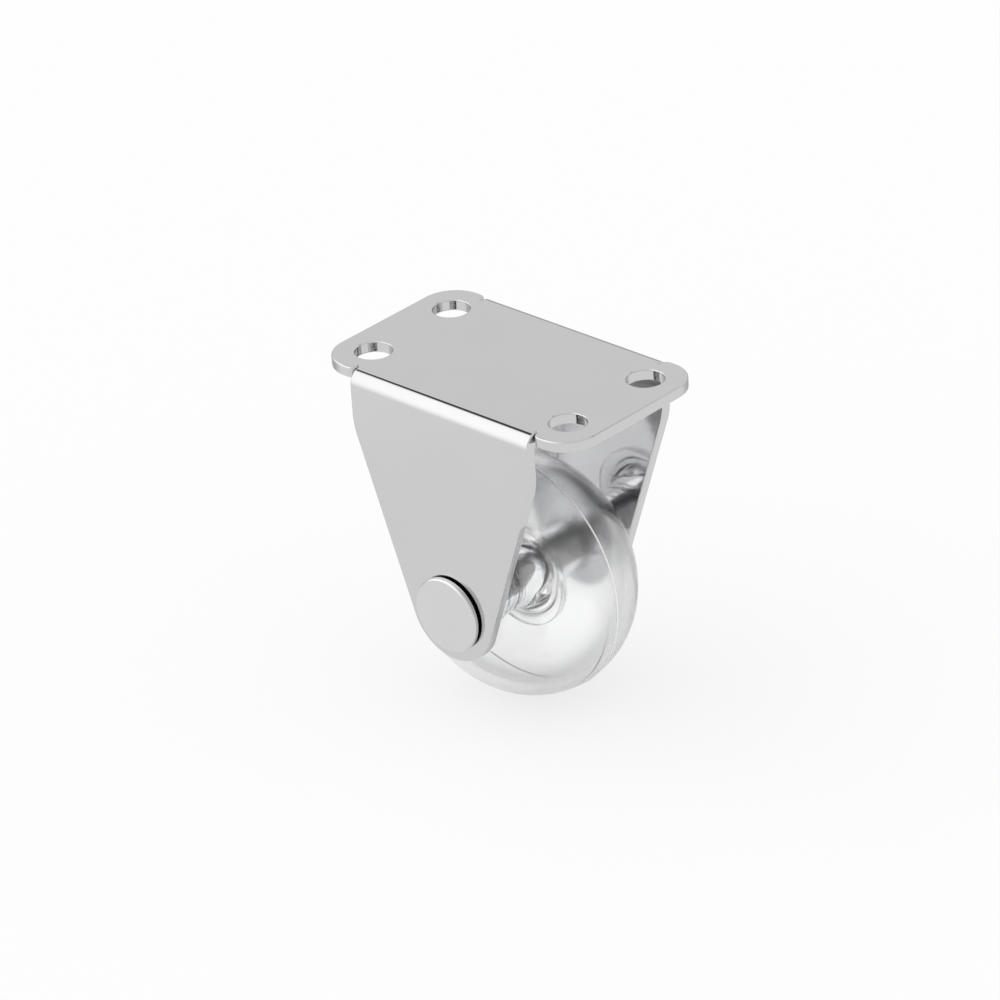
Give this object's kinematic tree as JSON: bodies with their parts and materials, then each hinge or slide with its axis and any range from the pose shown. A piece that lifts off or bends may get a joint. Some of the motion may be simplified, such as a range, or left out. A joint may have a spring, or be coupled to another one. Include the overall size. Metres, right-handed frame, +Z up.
{
  "type": "plate castor",
  "caption": "Fixed furniture castor: a folded chrome bracket with a screw-on top plate carries a clear barrel-shaped wheel on a riveted axle.",
  "frame": {"origin": "centre of the top plate's upper face, midway between the four screw holes", "axes": "+X along the plate's long side, +Y along the axle away from the broad rivet head, +Z up out of the plate's mounting face"},
  "size_m": [0.047, 0.0314, 0.0504],
  "materials": {
    "bracket": "bright nickel-chrome plating on folded steel sheet",
    "axle": "bright plated steel rivet",
    "wheel": "hollow clear moulded plastic, glossy"
  },
  "bodies": {
    "frame": {"bracket": "bracket", "axle": "axle"},
    "roller": {"wheel": "wheel"}
  },
  "joints": [
    {"name": "wheel_spin", "type": "hinge", "parent": "frame", "child": "roller", "pos_m": [0, 0, -0.0325], "axis": [0, 1, 0], "continuous": true}
  ]
}
